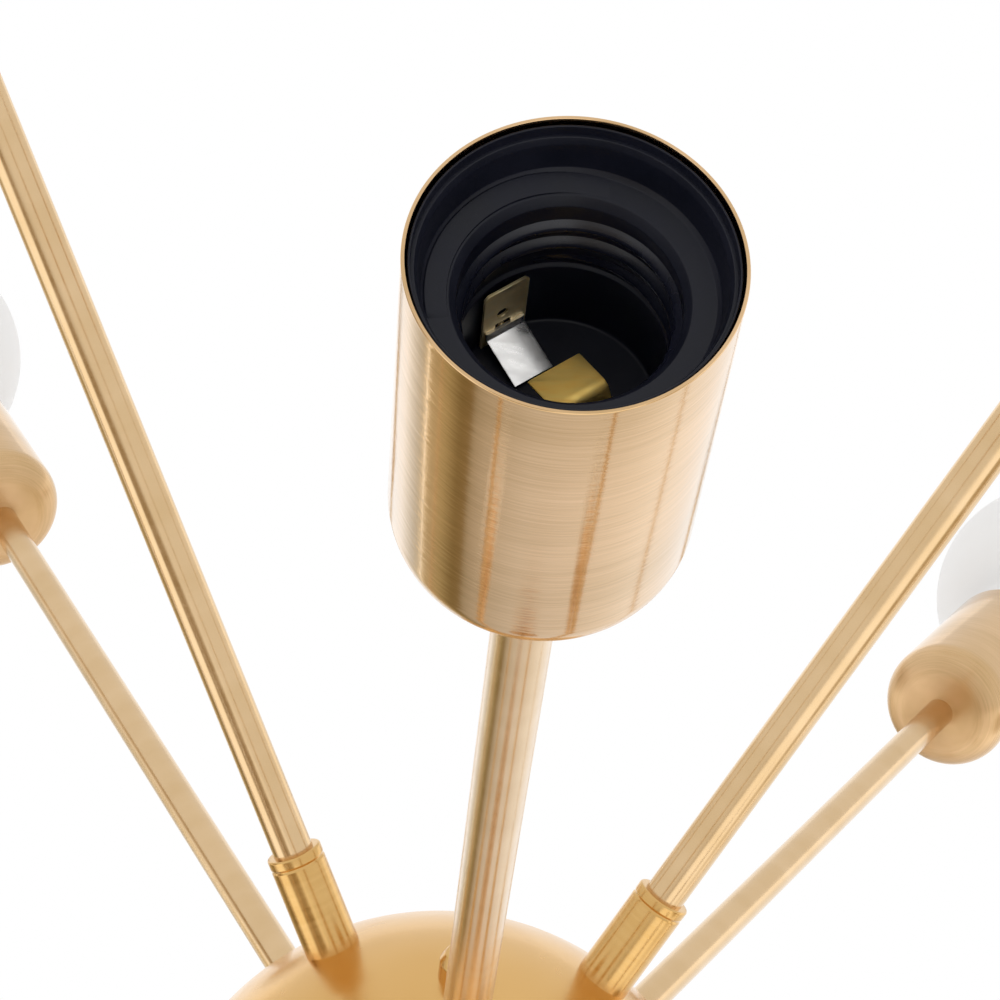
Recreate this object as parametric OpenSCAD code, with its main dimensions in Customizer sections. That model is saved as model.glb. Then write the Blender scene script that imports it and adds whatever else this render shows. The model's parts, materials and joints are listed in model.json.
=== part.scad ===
// Multi arm ceiling light: twelve straight arms screwed into a ball, hung from a ball swivel under a canopy.
// Millimetres. Z is up, the origin is the middle of the ceiling face, and the front arm points to -Y and down.

/* [Arms] */
// Outer radius of the lamp cup
cup_r = 20; // [19.5:0.1:21]
// Length of the lamp cup, from its rim to its closed end
cup_l = 66; // [62:1:70]
// Radius of the rounded edge at the closed end
cup_round = 9; // [4:0.5:9.5]
// Sheet thickness of the cup
cup_wall = 0.5; // [0.4:0.1:0.6]
// Distance from the ball's centre to a cup's rim
arm_reach = 400; // [350:5:420]
// Outer radius of an arm tube
tube_r = 4.5; // [4:0.1:5]
// Wall of an arm tube
tube_wall = 0.8; // [0.6:0.1:1]
// Outer radius of the collar at an arm's foot
collar_r = 6.2; // [5.6:0.1:6.5]
// Length of that collar
collar_l = 23.5; // [10:0.5:30]

/* [Layout] */
// Angle of the lower and upper arms to the horizontal
steep = 58; // [50:0.5:60]
// The ring's arms stand by turns a little above the level and higher. Turn about Z and rise of its first arm
low_turn = 32; // [28:0.5:34]
low_rise = 2.5; // [0:0.5:4]
// Turn and rise of its second arm
high_turn = 85; // [82:0.5:90]
high_rise = 8; // [4:0.5:10]

/* [Hub and stem] */
// Outer radius of the ball
ball_r = 66; // [64:0.5:68]
// Sheet thickness of the ball
ball_wall = 2; // [1.5:0.5:3]
// Drop from the ceiling to the ball's centre
drop = 560; // [540:5:700]
// Outer radius of the stem
stem_r = 6; // [5.5:0.1:6]

/* [Canopy] */
// Outer radius of the canopy
canopy_r = 63; // [60:1:75]
// Depth of the canopy
canopy_h = 36; // [36:0.1:36.5]
// Distance between the bracket's two slots
slot_gap = 88.9; // [70:0.1:90]

/* [Lamps] */
// Radius of a lamp's globe
globe_r = 40; // [30:1:42]
// Height of a globe's centre over its cup's rim
globe_up = 51; // [44:1:55]

/* [Hidden] */
ARMS = 12;
FIT = 0.05;             // radial play between a hole and what passes through it
PIVOT = -26;            // height of the swivel ball's centre
THREAD_R = 13.3;        // the lampholder's threaded wall, to the thread's roots
THREAD_TOP = -9;        // heights inside a cup are from its rim, so they are negative
THREAD_END = -21.5;
FLOOR = -34;
HOLDER_END = -42;
TUBE_START = 56;
CONTACT_TURN = -50;     // both contacts of a lampholder lie on this diameter
SWIVEL_R = 11;
WASHER_R = 12.4;
SHEET = 0.4;            // contact metal
$fn = 64;

function two(n) = n < 10 ? str("0", n) : str(n);
function numbered(name) = [for (i = [1:ARMS]) str(name, "_", two(i))];

// Arm 1 is the front one, with no lamp in it. Arms 1-3 point down, 4-9 are the middle ring, 10-12 point up.
// Each entry is [turn about Z, angle below the horizontal].
DIRECTIONS = concat(
    [for (k = [0:2]) [120 * k, steep]],
    [for (k = [0:2]) [120 * k + low_turn, -low_rise]],
    [for (k = [0:2]) [120 * k + high_turn, -high_rise]],
    [for (k = [0:2]) [120 * k + 60, -steep]]);

// Children are drawn with +Z along arm i, from the ball's centre
module along_arm(i)
    translate([0, 0, -drop])
        rotate([0, 0, DIRECTIONS[i - 1][0]])
            rotate([90 + DIRECTIONS[i - 1][1], 0, 0])
                children();

// Children are drawn with +Z along arm i, from its cup's rim
module at_rim(i)
    along_arm(i) translate([0, 0, arm_reach]) children();

// A ring with its foot at height z
module ring(r, bore, z, h)
    translate([0, 0, z])
        difference() {
            cylinder(r = r, h = h);
            translate([0, 0, -1]) cylinder(r = bore, h = h + 2);
        }

// A hex nut, r to its corners, with its foot at height z
module hex_nut(r, bore, z, h)
    translate([0, 0, z])
        difference() {
            cylinder(r = r, h = h, $fn = 6);
            translate([0, 0, -1]) cylinder(r = bore, h = h + 2);
        }

// Half section of a round vessel, closed at z = 0 with a rounded edge
module vessel_half(r, h, edge) {
    square([r - edge, h]);
    translate([0, edge]) square([r, h - edge]);
    translate([r - edge, edge]) circle(edge);
}

module canopy() color("goldenrod")
    translate([0, 0, -canopy_h])
        difference() {
            rotate_extrude()
                difference() {
                    vessel_half(canopy_r, canopy_h - 0.2, 7);
                    translate([0, 1.2]) vessel_half(canopy_r - 1.2, canopy_h, 5.8);
                }
            translate([0, 0, -1]) cylinder(r = 19 + FIT * 4, h = 4);
        }

// Bar across the outlet box, with its top face on the ceiling
module mounting_bracket() color("silver")
    difference() {
        translate([-53, -10, -2]) cube([106, 20, 2]);
        translate([0, 0, -3]) cylinder(r = 5 + FIT, h = 4);
        translate([26, 0, -3]) cylinder(r = 2 + FIT, h = 4);
        for (side = [-1, 1])
            translate([side * slot_gap / 2, 0, -3]) {
                for (end = [-1, 1])
                    translate([end * 2.75, 0, 0]) cylinder(r = 2.25, h = 4);
                translate([-2.75, -2.25, 0]) cube([5.5, 4.5, 4]);
            }
    }

module ground_screw() color("green")
    translate([26, 0, 0]) {
        translate([0, 0, -4.6]) cylinder(r = 3.6, h = 2.6);
        translate([0, 0, -2.1]) cylinder(r = 2, h = 2);
    }

// Cylinder that hangs from the bracket and holds the swivel ball
module swivel_housing() color("silver")
    translate([0, 0, PIVOT]) {
        difference() {
            translate([0, 0, -9.9]) cylinder(r = 19, h = 27.9);
            translate([0, 0, -10.9]) cylinder(r = 16.5, h = 26.4);
            cylinder(r = 3.6, h = 40);
        }
        ring(5, 3.6, 17.9, 7.9);
    }

module housing_nut() color("silver") hex_nut(9, 5 + FIT, -6.1, 4);

// Screws into the housing, holds the canopy up and carries the ball on its washer
module swivel_retainer() color("goldenrod")
    translate([0, 0, PIVOT])
        difference() {
            union() {
                translate([0, 0, -10.5]) cylinder(r = 16.5 - FIT, h = 10);
                translate([0, 0, -13]) cylinder(r = 22, h = 2.9);
            }
            sphere(r = WASHER_R + FIT);
            translate([0, 0, -13.2]) cylinder(r1 = 11.7, r2 = 8.6, h = 6);
        }

// Nylon ring between the ball and its seat
module swivel_washer() color("white")
    translate([0, 0, PIVOT])
        difference() {
            intersection() {
                sphere(r = WASHER_R);
                translate([0, 0, -7.8]) cylinder(r = 20, h = 8.8);
            }
            sphere(r = SWIVEL_R + FIT);
        }

module swivel_ball() color("goldenrod")
    translate([0, 0, PIVOT])
        difference() {
            intersection() {
                sphere(r = SWIVEL_R);
                translate([0, 0, -9]) cylinder(r = 20, h = 17);
            }
            translate([0, 0, -20]) cylinder(r = 5 + FIT, h = 40);
        }

module stem_nipple() color("silver")
    translate([0, 0, PIVOT]) ring(5, 3.6, -34, 47);

module nipple_nut() color("silver")
    translate([0, 0, PIVOT]) hex_nut(8, 5 + FIT, 8.1, 4);

module stem() color("goldenrod")
    ring(stem_r, 5 + FIT, -drop + ball_r - 8, drop - ball_r + 8 + PIVOT - 18);

module stem_nut() color("silver")
    hex_nut(10, stem_r + FIT, -drop + ball_r - 7.5, 4);

module hub_ball() color("goldenrod")
    difference() {
        translate([0, 0, -drop])
            difference() {
                sphere(r = ball_r);
                sphere(r = ball_r - ball_wall);
                translate([0, 0, ball_r - 10]) cylinder(r = stem_r + FIT, h = 20);
                translate([0, 0, -ball_r - 5]) cylinder(r = 2.5 + FIT, h = 15);
            }
        for (i = [1:ARMS])
            along_arm(i) translate([0, 0, ball_r - 10]) cylinder(r = tube_r + FIT, h = 20);
    }

module hub_top_collar() color("goldenrod")
    translate([0, 0, -drop])
        difference() {
            union() {
                translate([0, 0, ball_r - 2]) cylinder(r = 10.5, h = 5);
                translate([0, 0, ball_r + 3]) cylinder(r1 = 10.5, r2 = 8, h = 3);
                translate([0, 0, ball_r + 6]) cylinder(r = 8, h = 8);
            }
            sphere(r = ball_r + FIT);
            cylinder(r = stem_r + FIT, h = ball_r + 20);
        }

// Cap at the ball's lowest point, on its own stud
module finial() color("goldenrod")
    translate([0, 0, -drop - ball_r]) {
        translate([0, 0, -4]) cylinder(r = 6.2, h = 4);
        translate([0, 0, -6]) cylinder(r1 = 5, r2 = 6.2, h = 2);
        translate([0, 0, -0.1]) cylinder(r = 2.5, h = 9);
    }

module arm_collars() color("goldenrod")
    for (i = [1:ARMS])
        along_arm(i)
            difference() {
                translate([0, 0, ball_r - 1]) cylinder(r = collar_r, h = collar_l + 1);
                sphere(r = ball_r + FIT);
                cylinder(r = tube_r + FIT, h = ball_r + collar_l + 5);
            }

module arm_lock_nuts() color("silver")
    for (i = [1:ARMS])
        along_arm(i) hex_nut(7.5, tube_r + FIT, ball_r - ball_wall - 4.6, 4);

module cup_nuts() color("silver")
    for (i = [1:ARMS])
        at_rim(i) hex_nut(7.5, tube_r + FIT, -cup_l + cup_wall + 0.05, 4);

module arm_tube(i) color("goldenrod")
    along_arm(i)
        ring(tube_r, tube_r - tube_wall, TUBE_START, arm_reach + HOLDER_END + 3.7 - TUBE_START);

module arm_cup(i) color("goldenrod")
    at_rim(i)
        translate([0, 0, -cup_l])
            difference() {
                rotate_extrude()
                    difference() {
                        vessel_half(cup_r, cup_l, cup_round);
                        translate([0, cup_wall])
                            vessel_half(cup_r - cup_wall, cup_l, cup_round - cup_wall);
                    }
                translate([0, 0, -1]) cylinder(r = tube_r + FIT, h = 4);
            }

// Black screw shell holder. Its thread is left as a plain wall at the thread's roots.
module lampholder(i) color("black")
    at_rim(i)
        difference() {
            rotate_extrude()
                polygon([
                    [0, HOLDER_END], [12, HOLDER_END], [17.4, -35], [17.4, -9.5], [19.2, -8], [19.2, -0.8],
                    [18.9, -0.8], [18.8, -2.2], [18.4, -2.2], [18, -3.2], [17.5, -7.4], [13.7, -8.8], [THREAD_R, THREAD_TOP],
                    [THREAD_R, THREAD_END], [THREAD_R - 0.4, THREAD_END], [THREAD_R - 0.4, FLOOR], [0, FLOOR]]);
            translate([0, 0, HOLDER_END - 1]) cylinder(r = tube_r + FIT, h = 5);
            translate([0, 0, HOLDER_END]) cylinder(r = 2.4, h = 20);
            rotate([0, 0, CONTACT_TURN]) translate([-11.4, -4, FLOOR - 1.2]) cube([4, 8, 2]);
        }

// Wall plate with its eye, and the flat leg that runs in from its foot
module side_contact()
    rotate([0, 0, CONTACT_TURN]) {
        difference() {
            translate([11.6, -3.2, -33.9]) cube([SHEET, 6.4, 11.9]);
            translate([11, 0.4, -27.4]) rotate([0, 90, 0]) cylinder(r = 0.9, h = 2);
            translate([11, -1, -31]) cube([2, 2.4, 1.6]);
        }
        translate([4.7, -2.8, -33.2]) cube([7, 5.6, SHEET]);
    }

// Sprung tongue: it rises from the floor's pocket to a bend and ends over the middle
module centre_contact()
    rotate([0, 0, CONTACT_TURN])
        translate([0, 3.8, 0])
            rotate([90, 0, 0])
                linear_extrude(7.6)
                    polygon([
                        [-10, -34.2], [-9.5, -34.2], [-4.4, -24.9], [1.2, -26.4],
                        [1.2, -25.9], [-4.6, -24.4], [-10, -33.9]]);

module side_contacts() color("silver") for (i = [2:ARMS]) at_rim(i) side_contact();
module centre_contacts() color("goldenrod") for (i = [2:ARMS]) at_rim(i) centre_contact();
module open_side_contact() color("silver") at_rim(1) side_contact();
module open_centre_contact() color("goldenrod") at_rim(1) centre_contact();

module bulb_caps() color("silver")
    for (i = [2:ARMS])
        at_rim(i)
            rotate_extrude()
                polygon([[0, -24.2], [4, -24.2], [5, -22.6], [12.6, -18], [12.9, -17], [12.9, 0.4], [0, 0.4]]);

// Half section of a globe and its neck
module globe_half(r)
    intersection() {
        union() {
            translate([0, globe_up]) circle(r);
            polygon([[0, 0.5], [r - globe_r + 14, 0.5], [r - globe_r + 14, 5], [r / 2 - 0.5, globe_up - r * 0.87],
                     [0, globe_up]]);
        }
        square([globe_r + 1, globe_up + globe_r + 1]);
    }

module bulb_globes() color("ivory", 0.6)
    for (i = [2:ARMS])
        at_rim(i)
            rotate_extrude()
                difference() {
                    globe_half(globe_r);
                    translate([0, -0.01]) globe_half(globe_r - 0.8);
                }

canopy();
mounting_bracket();
ground_screw();
swivel_housing();
housing_nut();
swivel_retainer();
swivel_washer();
swivel_ball();
stem_nipple();
nipple_nut();
stem();
stem_nut();
hub_ball();
hub_top_collar();
finial();
arm_collars();
arm_lock_nuts();
cup_nuts();
side_contacts();
centre_contacts();
open_side_contact();
open_centre_contact();
bulb_caps();
bulb_globes();
for (i = [1:ARMS]) {
    arm_tube(i);
    arm_cup(i);
    lampholder(i);
}
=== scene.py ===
"""Multi arm ceiling light: brass arms on a ball, an open lamp cup at the front and lamps in the rest."""
import json
import math

import bpy
from mathutils import Matrix, Vector


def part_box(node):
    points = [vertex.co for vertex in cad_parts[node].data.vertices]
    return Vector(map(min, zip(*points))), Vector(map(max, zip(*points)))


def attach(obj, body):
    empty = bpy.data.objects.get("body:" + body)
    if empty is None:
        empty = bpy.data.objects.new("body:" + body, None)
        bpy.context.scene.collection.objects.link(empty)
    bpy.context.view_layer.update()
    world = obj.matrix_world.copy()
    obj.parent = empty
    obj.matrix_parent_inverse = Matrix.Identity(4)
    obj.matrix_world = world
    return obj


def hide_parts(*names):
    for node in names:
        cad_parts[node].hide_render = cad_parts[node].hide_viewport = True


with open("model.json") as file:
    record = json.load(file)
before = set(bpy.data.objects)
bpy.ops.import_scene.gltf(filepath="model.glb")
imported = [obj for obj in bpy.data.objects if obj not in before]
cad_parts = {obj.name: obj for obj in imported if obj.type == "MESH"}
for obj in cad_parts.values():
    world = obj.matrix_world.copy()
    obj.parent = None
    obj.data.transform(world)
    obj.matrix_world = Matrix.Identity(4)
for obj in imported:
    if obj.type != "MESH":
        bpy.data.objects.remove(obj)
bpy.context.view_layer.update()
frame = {"nodes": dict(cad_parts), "record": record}
MM = 0.001


# ---------------------------------------------------------------- places, from the frame

ARMS = [f"{i:02d}" for i in range(1, 13)]


def middle(node):
    low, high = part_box(node)
    return (Vector(low) + Vector(high)) / 2


def side(node, axis):
    low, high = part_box(node)
    return high[axis] - low[axis]


HUB = Vector((0, 0, -0.56))                        # the ball's centre
REACH = 0.4                                        # from there to the middle of a cup's rim
CUP_R = side("arm_cup_01", 0) / 2                  # arm 1 has no part along X
CUP_L = 66 * MM
CUP_WALL = 0.5 * MM
CUP_ROUND = 9 * MM                                 # of the edge round its closed end
TUBE_R = side("arm_tube_01", 0) / 2
BALL_R = 66 * MM
BALL_WALL = 2 * MM
COLLAR_R = 6.2 * MM
COLLAR_L = 23.5 * MM
STEM_R = side("stem", 0) / 2
STEM_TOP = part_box("stem")[1][2]
FINIAL_R = side("finial", 0) / 2
CANOPY_R = side("canopy", 0) / 2
CANOPY_LOW, CANOPY_TOP = (corner[2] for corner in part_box("canopy"))
RETAINER_R = side("swivel_retainer", 0) / 2
RETAINER_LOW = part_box("swivel_retainer")[0][2]
SOCKET = next(m for m in frame["record"]["mounts"] if m["name"] == "lamp_socket")
THREAD_R = SOCKET["dims"]["r_mm"] * MM


def arm_axes(number):
    """Matrix from an arm's own axes, +Z outwards from the ball's centre, to the frame's."""
    out = (middle(f"arm_tube_{number}") - HUB).normalized()
    turn = math.atan2(out.x, -out.y)
    across = Vector((math.cos(turn), math.sin(turn), 0))
    return Matrix.Translation(HUB) @ Matrix((across, out.cross(across), out)).transposed().to_4x4()


def rim_axes(number):
    """The same, from the middle of the cup's rim, so that heights inside the cup are negative."""
    return arm_axes(number) @ Matrix.Translation((0, 0, REACH))


# ---------------------------------------------------------------- mesh helpers

TIP = 0.02 * MM         # radius of the pinhole that a turned shape keeps on its axis


def rounded(points, steps=6):
    """A closed outline of (x, y, radius) corners as points, with each corner rounded by its radius."""
    outline = []
    for i, (x, y, radius) in enumerate(points):
        corner = Vector((x, y))
        if radius <= 0:
            outline.append(corner)
            continue
        to_last = (Vector(points[i - 1][:2]) - corner).normalized()
        to_next = (Vector(points[(i + 1) % len(points)][:2]) - corner).normalized()
        half = to_last.angle(to_next) / 2
        start = corner + to_last * radius / math.tan(half)
        end = corner + to_next * radius / math.tan(half)
        centre = corner + (to_last + to_next).normalized() * radius / math.sin(half)
        a, b = start - centre, end - centre
        sweep = a.angle_signed(b)
        outline += [centre + Matrix.Rotation(-sweep * k / steps, 2) @ a for k in range(steps + 1)]
    return outline


def bent(points, radius):
    """An open line of (x, z) points with its inner corners rounded."""
    steps = 6
    shares = [k / steps for k in range(steps + 1)]
    line = [Vector(points[0])]
    for a, b, c in zip(points, points[1:], points[2:]):
        corner = Vector(b)
        start = corner + (Vector(a) - corner).normalized() * radius
        end = corner + (Vector(c) - corner).normalized() * radius
        line += [start.lerp(corner, t).lerp(corner.lerp(end, t), t) for t in shares]
    return line + [Vector(points[-1])]


def new_object(name, vertices, faces, material, places):
    """An object of smooth faces, with each vertex's place on the piece's own axes kept for the materials."""
    mesh = bpy.data.meshes.new(name)
    mesh.from_pydata(vertices, [], faces)
    mesh.polygons.foreach_set("use_smooth", [True] * len(faces))
    mesh.set_sharp_from_angle(angle=math.radians(35))
    kept = mesh.attributes.new("own_place", "FLOAT_VECTOR", "POINT")
    for item, place in zip(kept.data, places):
        item.vector = place
    mesh.materials.append(material)
    thing = bpy.data.objects.new(name, mesh)
    bpy.context.collection.objects.link(thing)
    return thing


def turned(outline, segments):
    """Vertices, faces and corner UVs of a closed outline turned about Z. U runs round, V along it."""
    count = len(outline)
    vertices = [
        (p.x * math.cos(math.tau * s / segments), p.x * math.sin(math.tau * s / segments), p.y)
        for s in range(segments) for p in outline]
    faces, uvs = [], []
    for s in range(segments):
        after = (s + 1) % segments
        for i in range(count):
            j = (i + 1) % count
            faces.append((s * count + i, after * count + i, after * count + j, s * count + j))
            u0, u1 = s / segments, (s + 1) / segments
            v0, v1 = i / count, (i + 1) / count
            uvs += [(u0, v0), (u1, v0), (u1, v1), (u0, v1)]
    return vertices, faces, uvs


def lathe(name, outline, material, segments, axes=(Matrix.Identity(4),)):
    """One object of the outline turned about each matrix's Z axis. The outline keeps off the axis."""
    vertices, places, faces, uvs = [], [], [], []
    own, own_faces, own_uvs = turned(outline, segments)
    for matrix in axes:
        first = len(vertices)
        vertices += [tuple(matrix @ Vector(v)) for v in own]
        places += own
        faces += [tuple(first + k for k in f) for f in own_faces]
        uvs += own_uvs
    thing = new_object(name, vertices, faces, material, places)
    layer = thing.data.uv_layers.new(name="around")
    for item, uv in zip(layer.data, uvs):
        item.uv = uv
    return thing


def skin(name, rings, material, matrix, closed=True):
    """An object of faces from each ring of points to the next. Closed rings also get a face at each end."""
    count = len(rings[0])
    last = count * (len(rings) - 1)
    faces = []
    for first in range(0, last, count):
        for k in range(count if closed else count - 1):
            after = (k + 1) % count
            faces.append((first + k, first + after, first + count + after, first + count + k))
    if closed:
        faces += [tuple(range(count - 1, -1, -1)), tuple(range(last, last + count))]
    places = [point for ring in rings for point in ring]
    return new_object(name, [tuple(matrix @ Vector(p)) for p in places], faces, material, places)


def metal_strip(name, line, width, thick, material, matrix):
    """A bent strip of sheet metal with soft edges. Its line holds (x, z) points, and its width is along Y."""
    half, trim, thinned = width / 2, 0.25 * MM, 0.55
    section = [(-half, -thinned), (-half + trim, -1), (half - trim, -1), (half, -thinned),
               (half, thinned), (half - trim, 1), (-half + trim, 1), (-half, thinned)]
    rings = []
    for i, p in enumerate(line):
        along = (line[min(i + 1, len(line) - 1)] - line[max(i - 1, 0)]).normalized()
        normal = Vector((-along.y, along.x)) * thick / 2
        rings.append([(p.x + normal.x * lift, y, p.y + normal.y * lift) for y, lift in section])
    return skin(name, rings, material, matrix)


# ---------------------------------------------------------------- materials


class Nodes:
    """A node tree, with short ways to add and join nodes."""

    def __init__(self, tree):
        self.tree = tree

    def add(self, kind, **inputs):
        """A new node. In the name of an input an underscore stands for a space."""
        node = self.tree.nodes.new(kind)
        for key, value in inputs.items():
            node.inputs[key.replace("_", " ")].default_value = value
        return node

    def join(self, start, end):
        self.tree.links.new(start, end)

    def remap(self, value, low, high, to_low, to_high, smooth=False):
        """value from low..high to to_low..to_high, and held at the ends."""
        node = self.add("ShaderNodeMapRange", From_Min=low, From_Max=high, To_Min=to_low, To_Max=to_high)
        if smooth:
            node.interpolation_type = "SMOOTHSTEP"
        self.join(value, node.inputs["Value"])
        return node.outputs["Result"]


class Finish(Nodes):
    """A new material's nodes, round one Principled shader."""

    def __init__(self, name):
        self.material = bpy.data.materials.new(name)
        self.material.use_nodes = True
        super().__init__(self.material.node_tree)
        self.shader = self.tree.nodes["Principled BSDF"]
        self.under = None          # a coarser bump below the fine one

    def set(self, **inputs):
        for key, value in inputs.items():
            self.shader.inputs[key.replace("_", " ")].default_value = value

    def drive(self, name, value):
        """Joins a value to one of the shader's inputs."""
        self.join(value, self.shader.inputs[name])

    def scaled(self, where, scale):
        mapping = self.add("ShaderNodeMapping", Scale=scale)
        self.join(where, mapping.inputs["Vector"])
        return mapping.outputs["Vector"]

    def own_place(self, scale=(1, 1, 1)):
        """The place on the piece's own axes, scaled along each."""
        kept = self.add("ShaderNodeAttribute")
        kept.attribute_name = "own_place"
        return self.scaled(kept.outputs["Vector"], scale)

    def frame_place(self, scale):
        """The place on the frame's axes, scaled along each."""
        return self.scaled(self.add("ShaderNodeTexCoord").outputs["Object"], scale)

    def noise(self, place, detail):
        node = self.add("ShaderNodeTexNoise", Scale=1.0, Detail=detail, Roughness=0.6)
        self.join(place, node.inputs["Vector"])
        return node.outputs["Fac"]

    def blend(self, first, second, share):
        """A share of the first value, and the rest of the second. The share is a number or a socket."""
        node = self.add("ShaderNodeMix")
        if isinstance(share, float):
            node.inputs["Factor"].default_value = share
        else:
            self.join(share, node.inputs["Factor"])
        self.join(second, node.inputs["A"])
        self.join(first, node.inputs["B"])
        return node.outputs["Result"]

    def span(self, noise, low, high):
        """A noise, most of which lies in its middle half, spread over low..high."""
        return self.remap(noise, 0.25, 0.75, low, high)

    def around(self, noise, rough):
        """A roughness that a noise varies by a fifth either way."""
        return self.span(noise, rough * 0.8, rough * 1.2)

    def colour(self, noise, low, high):
        """The base colour, between two by a noise."""
        node = self.add("ShaderNodeValToRGB")
        for stop, position, colour in zip(node.color_ramp.elements, (0.3, 0.7), (low, high)):
            stop.position = position
            stop.color = (*colour, 1)
        self.join(noise, node.inputs["Fac"])
        self.drive("Base Color", node.outputs["Color"])

    def bump(self, height, strength, distance):
        node = self.add("ShaderNodeBump", Strength=strength, Distance=distance)
        self.join(height, node.inputs["Height"])
        if self.under:
            self.join(self.under, node.inputs["Normal"])
        self.drive("Normal", node.outputs["Normal"])

    def waver(self):
        """Faint hollows that make reflected edges waver, under the brushed lines."""
        soft = self.add("ShaderNodeBump", Strength=1.0, Distance=0.022 * MM)
        self.join(self.noise(self.own_place((130, 130, 900)), 2), soft.inputs["Height"])
        self.under = soft.outputs["Normal"]

    def spun_end(self, spun, drawn, anisotropy):
        """The cup's closed end is spun coarser than its drawn side, so it streaks from its centre."""
        split = self.add("ShaderNodeSeparateXYZ")
        self.join(self.own_place(), split.inputs[0])
        on_side = self.remap(split.outputs["Z"], 1.5 * MM - CUP_L, CUP_ROUND - CUP_L, 0, 1)
        self.drive("Roughness", self.blend(drawn, spun, on_side))
        self.drive("Anisotropic", self.remap(on_side, 0, 1, 0.9, anisotropy))


def brushed_brass(name, low, high, rough, bump, anisotropy=0.3, lines=3200, mark=0.5, end=False):
    """Lacquered brass brushed round its own axis, in fine lines that vary along Z and hardly around."""
    n = Finish(name)
    n.set(Metallic=1.0, Anisotropic=anisotropy, Anisotropic_Rotation=0.25)
    n.set(Coat_Weight=0.25, Coat_Roughness=0.03)
    fine = n.noise(n.own_place((60, 60, lines)), 3)
    broad = n.noise(n.own_place((25, 25, 60)), 2)
    n.colour(n.blend(fine, broad, mark), low, high)
    if end:
        n.waver()
        n.spun_end(n.span(fine, 0.36, 0.44), n.around(fine, rough), anisotropy)
    else:
        n.drive("Roughness", n.around(fine, rough))
    n.bump(fine, bump, 0.01 * MM)
    tangent = n.add("ShaderNodeTangent")
    tangent.direction_type = "UV_MAP"
    tangent.uv_map = "around"
    n.drive("Tangent", tangent.outputs["Tangent"])
    return n.material


def moulded(name, low, high, rough, bump=0.25, specular=0.5):
    """Moulded plastic with a fine grain."""
    n = Finish(name)
    n.set(IOR=1.48, Specular_IOR_Level=specular)
    grain = n.noise(n.frame_place((2600, 2600, 2600)), 2)
    broad = n.noise(n.frame_place((120, 120, 120)), 3)
    n.colour(broad, low, high)
    n.drive("Roughness", n.around(broad, rough))
    n.bump(grain, bump, 0.02 * MM)
    return n.material


def plated(name, low, high, rough, stretch=1.0):
    """Plated or stamped metal with faint rolling marks, longer along X where stretch is low."""
    n = Finish(name)
    n.set(Metallic=1.0)
    marks = n.noise(n.frame_place((900 * stretch, 900, 900)), 4)
    broad = n.noise(n.frame_place((90, 90, 90)), 3)
    n.colour(broad, low, high)
    n.drive("Roughness", n.span(marks, rough * 0.6, rough * 1.4))
    n.bump(marks, 0.2, 0.015 * MM)
    return n.material


def satin_glass(name):
    """Pale satin glass with a little unevenness."""
    n = Finish(name)
    n.set(Transmission_Weight=0.12, IOR=1.2)
    broad = n.noise(n.frame_place((60, 60, 60)), 3)
    n.colour(broad, (0.985, 0.97, 0.955), (1.0, 0.99, 0.98))
    n.drive("Roughness", n.span(broad, 0.5, 0.6))
    n.bump(broad, 0.08, 0.1 * MM)
    return n.material


CUP_BRASS = brushed_brass(
    "cup_brass", (0.56, 0.365, 0.165), (0.82, 0.555, 0.315), 0.1, 0.6, anisotropy=0.5, end=True)
CANOPY_BRASS = brushed_brass("canopy_brass", (0.60, 0.39, 0.20), (0.80, 0.54, 0.325), 0.16, 0.6)
ROD_BRASS = brushed_brass(
    "rod_brass", (0.67, 0.46, 0.235), (0.76, 0.545, 0.315), 0.2, 0.05, lines=300, mark=0.2)
BALL_BRASS = brushed_brass(
    "ball_brass", (0.71, 0.42, 0.14), (0.79, 0.49, 0.185), 0.24, 0.05, lines=300, mark=0.2)
COLLAR_BRASS = brushed_brass("collar_brass", (0.62, 0.36, 0.11), (0.74, 0.47, 0.18), 0.22, 0.1, lines=900)
BLACK = moulded("black_plastic", (0.005, 0.006, 0.012), (0.008, 0.009, 0.018), 0.42, bump=0.8, specular=0.3)
THREAD_BLACK = moulded("black_thread", (0.005, 0.006, 0.012), (0.009, 0.010, 0.020), 0.26, specular=0.6)
NYLON = moulded("white_nylon", (0.80, 0.80, 0.77), (0.88, 0.88, 0.86), 0.45)
ZINC = plated("zinc", (0.52, 0.53, 0.54), (0.68, 0.69, 0.70), 0.34)
GREEN = plated("green_dye", (0.02, 0.20, 0.06), (0.04, 0.30, 0.10), 0.35)
NICKEL = plated("nickel", (0.90, 0.89, 0.87), (0.99, 0.98, 0.96), 0.34, stretch=0.2)
GILT = plated("gilt_plate", (0.98, 0.75, 0.38), (1.0, 0.84, 0.52), 0.55, stretch=0.2)
CONTACT_BRASS = plated("contact_brass", (0.97, 0.64, 0.15), (1.0, 0.74, 0.25), 0.6, stretch=0.2)
CAP_METAL = plated("cap_metal", (0.70, 0.70, 0.70), (0.82, 0.82, 0.82), 0.25)
GLASS = satin_glass("satin_glass")


def finish_piece(thing, body, slot, *nodes):
    """Ties a piece to its body and hides the CAD nodes that it stands for. The slot, its finish, is not used.
    """
    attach(thing, body)
    if nodes:
        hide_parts(*nodes)


def repaint(material, *nodes):
    """Gives CAD nodes that stay in view their material."""
    for node in nodes:
        thing = frame["nodes"][node]
        for slot in thing.material_slots:
            slot.material = material
        if not thing.material_slots:
            thing.data.materials.append(material)


# ---------------------------------------------------------------- arms, cups and ball


def cup_outline():
    inner = CUP_R - CUP_WALL
    return rounded([
        (TUBE_R, -CUP_L, 0), (CUP_R, -CUP_L, CUP_ROUND), (CUP_R, 0, 0.28 * MM), (inner, 0, 0.2 * MM),
        (inner, -CUP_L + CUP_WALL, CUP_ROUND - CUP_WALL), (TUBE_R, -CUP_L + CUP_WALL, 0)], steps=14)


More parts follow.
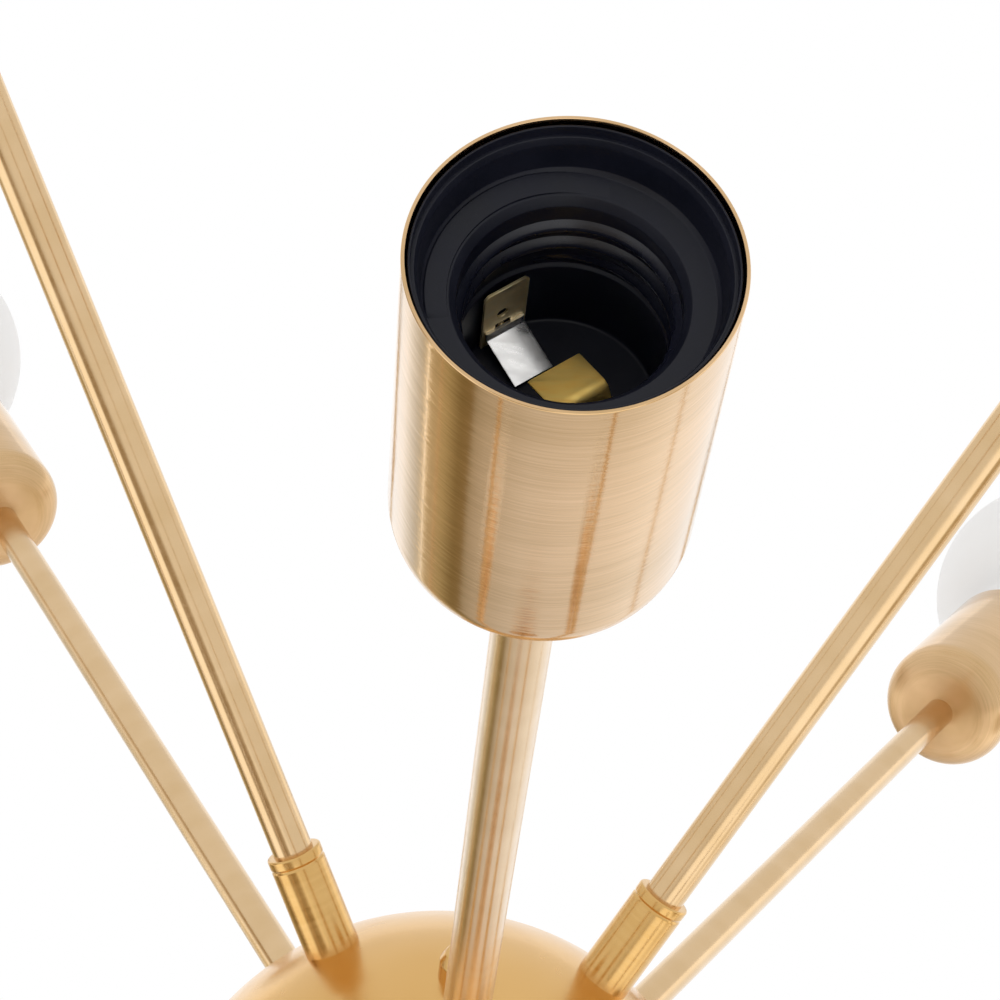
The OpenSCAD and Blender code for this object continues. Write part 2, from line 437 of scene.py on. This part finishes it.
def pipe_outline(outer, bore, low, high, parts):
    """A tube's wall, with its outside cut into short parts."""
    levels = [low + (high - low) * k / parts for k in range(parts + 1)]
    return [Vector((outer, z)) for z in levels] + [Vector((bore, high)), Vector((bore, low))]


def collar_outline():
    low, high = BALL_R - 0.5 * MM, BALL_R + COLLAR_L
    groove, groove_half, groove_deep = high - 2.6 * MM, 0.5 * MM, 0.25 * MM
    return rounded([
        (TUBE_R, low, 0), (COLLAR_R, low, 0), (COLLAR_R, groove - groove_half, 0.1 * MM),
        (COLLAR_R - groove_deep, groove, 0.1 * MM), (COLLAR_R, groove + groove_half, 0.1 * MM),
        (COLLAR_R, high, 0.5 * MM), (TUBE_R, high, 0)])


def ball_outline():
    """Half a circle on the ball's outside and back on its inside."""
    steps = 96
    angles = [math.pi * (k + 0.5) / steps - math.pi / 2 for k in range(steps)]
    outer = [Vector((BALL_R * math.cos(a), BALL_R * math.sin(a))) for a in angles]
    inner_r = BALL_R - BALL_WALL
    return outer + [Vector((inner_r * math.cos(a), inner_r * math.sin(a))) for a in reversed(angles)]


TUBE_LINE = pipe_outline(TUBE_R, TUBE_R - 0.5 * MM, BALL_R - 4 * MM, REACH - CUP_L + 6 * MM, 24)
for number in ARMS:
    cup = lathe(f"cup_{number}", cup_outline(), CUP_BRASS, 160 if number == "01" else 96, [rim_axes(number)])
    finish_piece(cup, "light", "brushed_brass", f"arm_cup_{number}")
    tube = lathe(f"tube_{number}", TUBE_LINE, ROD_BRASS, 48, [arm_axes(number)])
    finish_piece(tube, "light", "brushed_brass", f"arm_tube_{number}")

collars = lathe("collars", collar_outline(), COLLAR_BRASS, 64, [arm_axes(n) for n in ARMS])
finish_piece(collars, "light", "brushed_brass", "arm_collars")

ball = lathe("ball", ball_outline(), BALL_BRASS, 160, [Matrix.Translation(HUB)])
finish_piece(ball, "light", "brushed_brass", "hub_ball")

# the finial's heights are from the ball's lowest point, and the top collar's from its highest
finial = lathe("finial_cap", rounded([
    (TIP, 1 * MM, 0), (FINIAL_R, 1 * MM, 0), (FINIAL_R, -4 * MM, 0.5 * MM),
    (FINIAL_R - 1.2 * MM, -6 * MM, 1 * MM), (TIP, -6 * MM, 0)]),
    COLLAR_BRASS, 64, [Matrix.Translation(HUB - Vector((0, 0, BALL_R)))])
finish_piece(finial, "light", "brushed_brass", "finial")

# ---------------------------------------------------------------- stem, swivel and canopy

top_collar = lathe("top_collar", rounded([
    (STEM_R, -2 * MM, 0), (10.5 * MM, -2 * MM, 0), (10.5 * MM, 3 * MM, 0.6 * MM), (8 * MM, 6 * MM, 0.8 * MM),
    (8 * MM, 14 * MM, 0.8 * MM), (STEM_R, 14 * MM, 0)]),
    COLLAR_BRASS, 96, [Matrix.Translation(HUB + Vector((0, 0, BALL_R)))])
finish_piece(top_collar, "light", "brushed_brass", "hub_top_collar")

STEM_BORE = 5.05 * MM
STEM_LOW = HUB.z + BALL_R - 8 * MM
stem = lathe("stem_tube", pipe_outline(STEM_R, STEM_BORE, STEM_LOW, STEM_TOP, 40), ROD_BRASS, 64)
finish_piece(stem, "light", "brushed_brass", "stem")

CANOPY_HOLE = 19.2 * MM
CANOPY_WALL = 1.2 * MM
CANOPY_IN_R, CANOPY_IN_LOW = CANOPY_R - CANOPY_WALL, CANOPY_LOW + CANOPY_WALL
canopy = lathe("canopy_shell", rounded([
    (CANOPY_HOLE, CANOPY_LOW, 0.3 * MM), (CANOPY_R, CANOPY_LOW, 7 * MM), (CANOPY_R, CANOPY_TOP, 0.4 * MM),
    (CANOPY_IN_R, CANOPY_TOP, 0.4 * MM), (CANOPY_IN_R, CANOPY_IN_LOW, 5.8 * MM),
    (CANOPY_HOLE, CANOPY_IN_LOW, 0.3 * MM)], steps=10), CANOPY_BRASS, 192)
finish_piece(canopy, "canopy_body", "brushed_brass", "canopy")

SLEEVE_R = 16.4 * MM                                # of the retainer, above its flange
FLANGE_TOP = RETAINER_LOW + 2.9 * MM
SLEEVE_TOP = RETAINER_LOW + 12.4 * MM
retainer = lathe("retainer_ring", rounded([
    (11.7 * MM, RETAINER_LOW, 0.5 * MM), (RETAINER_R, RETAINER_LOW, 0.9 * MM),
    (RETAINER_R, FLANGE_TOP, 0.4 * MM), (SLEEVE_R, FLANGE_TOP, 0), (SLEEVE_R, SLEEVE_TOP, 0.3 * MM),
    (12.6 * MM, SLEEVE_TOP, 0.2 * MM), (11.6 * MM, RETAINER_LOW + 8.2 * MM, 0),
    (8.95 * MM, RETAINER_LOW + 4.4 * MM, 0.1 * MM)]), COLLAR_BRASS, 96)
finish_piece(retainer, "canopy_body", "brushed_brass", "swivel_retainer")

repaint(ZINC, "mounting_bracket", "swivel_housing", "housing_nut", "stem_nipple", "nipple_nut", "stem_nut",
        "arm_lock_nuts", "cup_nuts")
repaint(GREEN, "ground_screw")
repaint(NYLON, "swivel_washer")
repaint(CONTACT_BRASS, "swivel_ball")

# ---------------------------------------------------------------- lampholders, heights from the cup's rim

THREAD_PITCH = 3.63 * MM
THREAD_DEEP = 0.95 * MM
THREAD_FIRST, THREAD_LAST = -10.4 * MM, -20.6 * MM
THREAD_END = -21.5 * MM
BORE_R = THREAD_R - 0.5 * MM                        # below the thread
FLOOR = -34 * MM
BACK = -42 * MM
HOLDER_R = 17.4 * MM
LIP_R = 19.2 * MM
LIP_TOP = -0.8 * MM
LIP_STEP = -2.2 * MM


def holder_outline():
    """The black holder's section, from its back up its side, over its lip and down the bore to its floor."""
    return rounded([
        (TIP, BACK, 0), (12 * MM, BACK, 1 * MM), (HOLDER_R, -35 * MM, 1 * MM),
        (HOLDER_R, -9.5 * MM, 0), (LIP_R, -8 * MM, 0.3 * MM), (LIP_R, LIP_TOP, 0.12 * MM),
        (18.9 * MM, LIP_TOP, 0.12 * MM), (18.8 * MM, LIP_STEP, 0), (18.4 * MM, LIP_STEP, 0.15 * MM),
        (18.0 * MM, -3.2 * MM, 0.3 * MM), (17.55 * MM, -7.1 * MM, 0.35 * MM),
        (17.0 * MM, -7.7 * MM, 0.3 * MM), (14.2 * MM, -8.1 * MM, 0.35 * MM), (THREAD_R, -9.3 * MM, 0.3 * MM),
        (THREAD_R, THREAD_END, 0.2 * MM), (BORE_R, THREAD_END - 0.4 * MM, 0.2 * MM),
        (BORE_R, FLOOR, 0.5 * MM), (TIP, FLOOR, 0)], steps=5)


def thread_ridge(name, material, matrix):
    """Helical ridge on the bore's wall, fading in and out at its ends."""
    # share of the thread's depth, and mm along the bore
    section = [(-0.06, -1.25), (0.28, -0.92), (0.72, -0.5), (0.95, -0.2), (1.0, 0), (0.95, 0.2), (0.72, 0.5),
               (0.28, 0.92), (-0.06, 1.25)]
    turns = (THREAD_FIRST - THREAD_LAST) / THREAD_PITCH
    steps, fade_steps = int(turns * 120), 25
    rings = []
    for s in range(steps + 1):
        angle = math.tau * turns * s / steps
        fade = min(1, s / fade_steps, (steps - s) / fade_steps)
        z = THREAD_FIRST - THREAD_PITCH * angle / math.tau
        ring = []
        for inward, along in section:
            r = THREAD_R - THREAD_DEEP * inward * fade
            ring.append((r * math.cos(angle), r * math.sin(angle), z + along * MM * (0.4 + 0.6 * fade)))
        rings.append(ring)
    return skin(name, rings, material, matrix, closed=False)


def ledge_step(name, material, matrix):
    """Low raised band on part of the ledge. It sinks in slowly at its start and quickly at its end."""
    # (radius, height) in mm
    section = [(17.3, -8), (17.25, -7.5), (17.0, -7.35), (14.7, -7.65), (14.45, -7.8), (14.35, -8.4)]
    start, end, steps, sink = math.radians(-124), math.radians(20), 60, 0.6
    rings = []
    for s in range(steps + 1):
        angle = start + (end - start) * s / steps
        sunk = sink * max(0, 1 - s / (0.4 * steps), 1 - (steps - s) / 1.5)
        rings.append([
            (r * MM * math.cos(angle), r * MM * math.sin(angle), (z - sunk) * MM) for r, z in section])
    return skin(name, rings, material, matrix)


OPEN_RIM = rim_axes("01")
holder = lathe("open_holder", holder_outline(), BLACK, 160, [OPEN_RIM])
finish_piece(holder, "light", "black_holder", "lampholder_01")
finish_piece(thread_ridge("open_holder_thread", THREAD_BLACK, OPEN_RIM), "light", "black_holder")
finish_piece(ledge_step("open_holder_step", BLACK, OPEN_RIM), "light", "black_holder")
repaint(BLACK, *(f"lampholder_{number}" for number in ARMS[1:]))

# ---------------------------------------------------------------- contacts

# the open cup's contacts lie along X here, with the plate at +X and the tongue's foot at -X
CONTACT_AXES = OPEN_RIM @ Matrix.Rotation(math.radians(-50), 4, "Z")
PLATE_OUT = 11.8 * MM


def punched_plate(name, material, matrix):
    """The upright plate: an outline with its slot and round eye, given thickness and bevelled edges."""
    curve = bpy.data.curves.new(name, "CURVE")
    curve.dimensions = "2D"
    curve.fill_mode = "BOTH"
    curve.extrude = 0.16 * MM
    curve.bevel_depth = 0.05 * MM
    # (across, height) in mm
    outline = [(-3.2, -33.5), (3.2, -33.5), (3.2, -22.6), (2.7, -22), (-2.7, -22), (-3.2, -22.6)]
    slot = [(-1, -31), (-0.2, -31), (0, -30.2), (0.5, -30.2), (0.7, -31), (1.4, -31), (1.4, -29.4),
            (-1, -29.4)]
    eye_y, eye_z, eye_r, eye_steps = 0.4, -27.4, 0.9, 24
    turns = [math.tau * k / eye_steps for k in range(eye_steps)]
    eye = [(eye_y + eye_r * math.cos(a), eye_z + eye_r * math.sin(a)) for a in turns]
    for points in (outline, eye, slot):
        spline = curve.splines.new("POLY")
        spline.points.add(len(points) - 1)
        for point, (y, z) in zip(spline.points, points):
            point.co = (y * MM, z * MM, 0, 1)
        spline.use_cyclic_u = True
    flat = bpy.data.objects.new(name + "_curve", curve)
    mesh = bpy.data.meshes.new_from_object(flat)
    bpy.data.objects.remove(flat)
    upright = Matrix(((0, 0, 1, 0), (1, 0, 0, 0), (0, 1, 0, 0), (0, 0, 0, 1)))
    mesh.transform(matrix @ Matrix.Translation((PLATE_OUT, 0, 0)) @ upright)
    mesh.name = name
    mesh.materials.clear()
    mesh.materials.append(material)
    thing = bpy.data.objects.new(name, mesh)
    bpy.context.collection.objects.link(thing)
    return thing


def bent_strip(name, points, radius, width, thick, material):
    """A strip of sheet metal bent along (x, z) points in mm on the contacts' axes."""
    line = bent([(x * MM, z * MM) for x, z in points], radius * MM)
    return metal_strip(name, line, width * MM, thick * MM, material, CONTACT_AXES)


plate = punched_plate("open_contact_plate", GILT, CONTACT_AXES)
finish_piece(plate, "light", "nickel_contact", "open_side_contact")
leg = bent_strip(
    "open_contact_leg", [(11.4, -30.2), (11.3, -31.5), (7.6, -32.5), (4.7, -33.3)], 0.4, 5.6, 0.4, NICKEL)
finish_piece(leg, "light", "nickel_contact")
tongue = bent_strip(
    "open_contact_tongue", [(-9.8, -34.0), (-4.5, -24.65), (1.2, -26.15)], 1.0, 7.6, 0.45, CONTACT_BRASS)
finish_piece(tongue, "contact_tongue", "brass_contact", "open_centre_contact")
repaint(NICKEL, "side_contacts")
repaint(CONTACT_BRASS, "centre_contacts")

# ---------------------------------------------------------------- lamps

GLOBE_R = 40 * MM
GLOBE_UP = 51 * MM       # its centre, above the cup's rim


def globe_outline():
    """Outside of a globe on its neck, then back down its inside. A pinhole stays at the top."""
    neck_r, wall, foot, neck_pull = 14 * MM, 0.8 * MM, 0.6 * MM, 9 * MM
    steps, neck_steps = 56, 12
    join, top = math.radians(-62), math.pi / 2 - 0.004

    def skin_of(r, neck):
        angles = [join + (top - join) * k / steps for k in range(steps + 1)]
        sphere = [Vector((r * math.cos(a), GLOBE_UP + r * math.sin(a))) for a in angles]
        start, pull, end = Vector((neck, foot)), Vector((neck, foot + neck_pull)), sphere[0]
        shares = [k / neck_steps for k in range(neck_steps)]
        return [start.lerp(pull, t).lerp(pull.lerp(end, t), t) for t in shares] + sphere

    return skin_of(GLOBE_R, neck_r) + skin_of(GLOBE_R - wall, neck_r - wall)[::-1]


globes = lathe("globes", globe_outline(), GLASS, 72, [rim_axes(n) for n in ARMS[1:]])
finish_piece(globes, "light", "lamp_glass", "bulb_globes")
repaint(CAP_METAL, "bulb_caps")

# ---------------------------------------------------------------- stage, light and camera

PITCH = math.radians(30.04)         # the camera looks up at the light, and the picture is upside down
ROLL = math.radians(6.96)
# the ball's centre to the right of, above and ahead of the camera, in cup radii
HUB_SEEN = (-0.703, -7.950, 35.684)
LENS = 114.1
FLOOR_Z = -1.9
FLOOR_HALF = 40


def add_camera():
    right, up = Vector((-1, 0, 0)), Vector((0, math.sin(PITCH), -math.cos(PITCH)))
    ahead = Vector((0, math.cos(PITCH), math.sin(PITCH)))
    right, up = (right * math.cos(ROLL) + up * math.sin(ROLL), up * math.cos(ROLL) - right * math.sin(ROLL))
    data = bpy.data.cameras.new("camera")
    data.lens = LENS
    data.sensor_width = 36
    data.clip_start = 0.05
    camera = bpy.data.objects.new("camera", data)
    bpy.context.collection.objects.link(camera)
    x, y, z = HUB_SEEN
    camera.matrix_world = Matrix.Translation(
        HUB - (right * x + up * y + ahead * z) * CUP_R) @ Matrix((right, up, -ahead)).transposed().to_4x4()
    bpy.context.scene.camera = camera


def add_floor():
    mesh = bpy.data.meshes.new("floor")
    ways = ((-1, -1), (1, -1), (1, 1), (-1, 1))
    mesh.from_pydata([(x * FLOOR_HALF, y * FLOOR_HALF, FLOOR_Z) for x, y in ways], [], [(0, 1, 2, 3)])
    floor = bpy.data.objects.new("floor", mesh)
    bpy.context.collection.objects.link(floor)
    n = Finish("floor_pale")
    n.set(Base_Color=(0.92, 0.92, 0.92, 1), Roughness=0.8)
    mesh.materials.append(n.material)


# Light round the front arm's axis: degrees from the side that faces the camera, and a colour. A bright line
# and a dim warm panel stand between pale ones.
PANELS = [
    (-180, (1.1, 1.1, 1.1)), (-128, (1.2, 1.22, 1.25)), (-108, (0.69, 0.69, 0.65)),
    (-98.9, (0.66, 0.60, 0.46)), (-98.4, (2.8, 2.7, 2.4)), (-97.8, (2.8, 2.7, 2.4)),
    (-97.3, (0.62, 0.52, 0.34)), (-79, (0.50, 0.42, 0.23)), (-66, (0.26, 0.20, 0.09)),
    (-58, (0.28, 0.21, 0.10)), (-54, (0.46, 0.42, 0.34)), (-44, (0.58, 0.55, 0.49)),
    (-12, (0.76, 0.76, 0.77)), (18, (0.87, 0.87, 0.90)), (50, (0.96, 0.96, 0.98)),
    (87, (1.12, 1.14, 1.17)), (180, (1.1, 1.1, 1.1))]
# How much of a direction points back along the front arm where the panels start, and where they are full
PANELS_START, PANELS_FULL = 0.35, 0.6
EVEN = (1.42, 1.42, 1.42)            # the light elsewhere
# Dim warm patches beside the light: direction, degrees across, colour
PATCHES = [
    ((0.35, -0.92, 0.10), 50, (0.40, 0.31, 0.20)),
    ((0.82, 0.42, -0.38), 84, (0.78, 0.68, 0.55)),
    ((0.95, 0.05, -0.03), 50, (0.36, 0.25, 0.12)),
    ((-0.85, -0.45, 0.30), 36, (0.56, 0.45, 0.28))]
PATCH_SOFT = 0.6                     # share of a patch in which it fades in
BRIGHTEST = 3                        # the world's strength, as a colour can't pass 1


def dimmed(colour):
    return tuple(c / BRIGHTEST for c in colour)


def add_world():
    """White to the camera and to dull surfaces. Gloss sees panels round the front arm, and dim patches."""
    world = bpy.data.worlds.new("studio")
    bpy.context.scene.world = world
    world.use_nodes = True
    n = Nodes(world.node_tree)
    n.tree.nodes.clear()
    where = n.add("ShaderNodeTexCoord").outputs["Generated"]

    def along(direction):
        """How much of the ray's direction lies along another."""
        node = n.add("ShaderNodeVectorMath")
        node.operation = "DOT_PRODUCT"
        node.inputs[1].default_value = direction
        n.join(where, node.inputs[0])
        return node.outputs["Value"]

    def mixed(share, first, second):
        """From the first colour to the second, each a socket or plain numbers."""
        node = n.add("ShaderNodeMix")
        node.data_type = "RGBA"
        n.join(share, node.inputs["Factor"])
        for socket, colour in ((node.inputs[6], first), (node.inputs[7], second)):
            if isinstance(colour, tuple):
                socket.default_value = (*colour, 1)
            else:
                n.join(colour, socket)
        return node.outputs[2]

    axes = arm_axes("01").to_3x3()
    angle = n.add("ShaderNodeMath")
    angle.operation = "ARCTAN2"
    n.join(along(-axes.col[0]), angle.inputs[0])        # the picture's right is -X
    n.join(along(axes.col[1]), angle.inputs[1])
    ramp = n.add("ShaderNodeValToRGB")
    stops = ramp.color_ramp.elements
    for turn, _ in PANELS[1:-1]:
        stops.new((turn + 180) / 360)
    for stop, (_, colour) in zip(stops, PANELS):
        stop.color = (*dimmed(colour), 1)
    n.join(n.remap(angle.outputs[0], -math.pi, math.pi, 0, 1), ramp.inputs["Fac"])
    behind = n.remap(along(-axes.col[2]), PANELS_START, PANELS_FULL, 0, 1, smooth=True)
    colour = mixed(behind, dimmed(EVEN), ramp.outputs["Color"])
    for direction, across, shade in PATCHES:
        edge = math.cos(math.radians(across / 2))
        full = edge + (1 - edge) * PATCH_SOFT
        inside = n.remap(along(Vector(direction).normalized()), edge, full, 0, 1, smooth=True)
        colour = mixed(inside, colour, dimmed(shade))
    panels = n.add("ShaderNodeBackground", Strength=BRIGHTEST)
    n.join(colour, panels.inputs["Color"])
    white = n.add("ShaderNodeBackground", Color=(1, 1, 1, 1))
    mix = n.add("ShaderNodeMixShader")
    n.join(n.add("ShaderNodeLightPath").outputs["Is Glossy Ray"], mix.inputs["Fac"])
    n.join(white.outputs[0], mix.inputs[1])
    n.join(panels.outputs[0], mix.inputs[2])
    n.join(mix.outputs[0], n.add("ShaderNodeOutputWorld").inputs["Surface"])


add_camera()
add_floor()
add_world()
bpy.context.scene.view_settings.view_transform = "Standard"
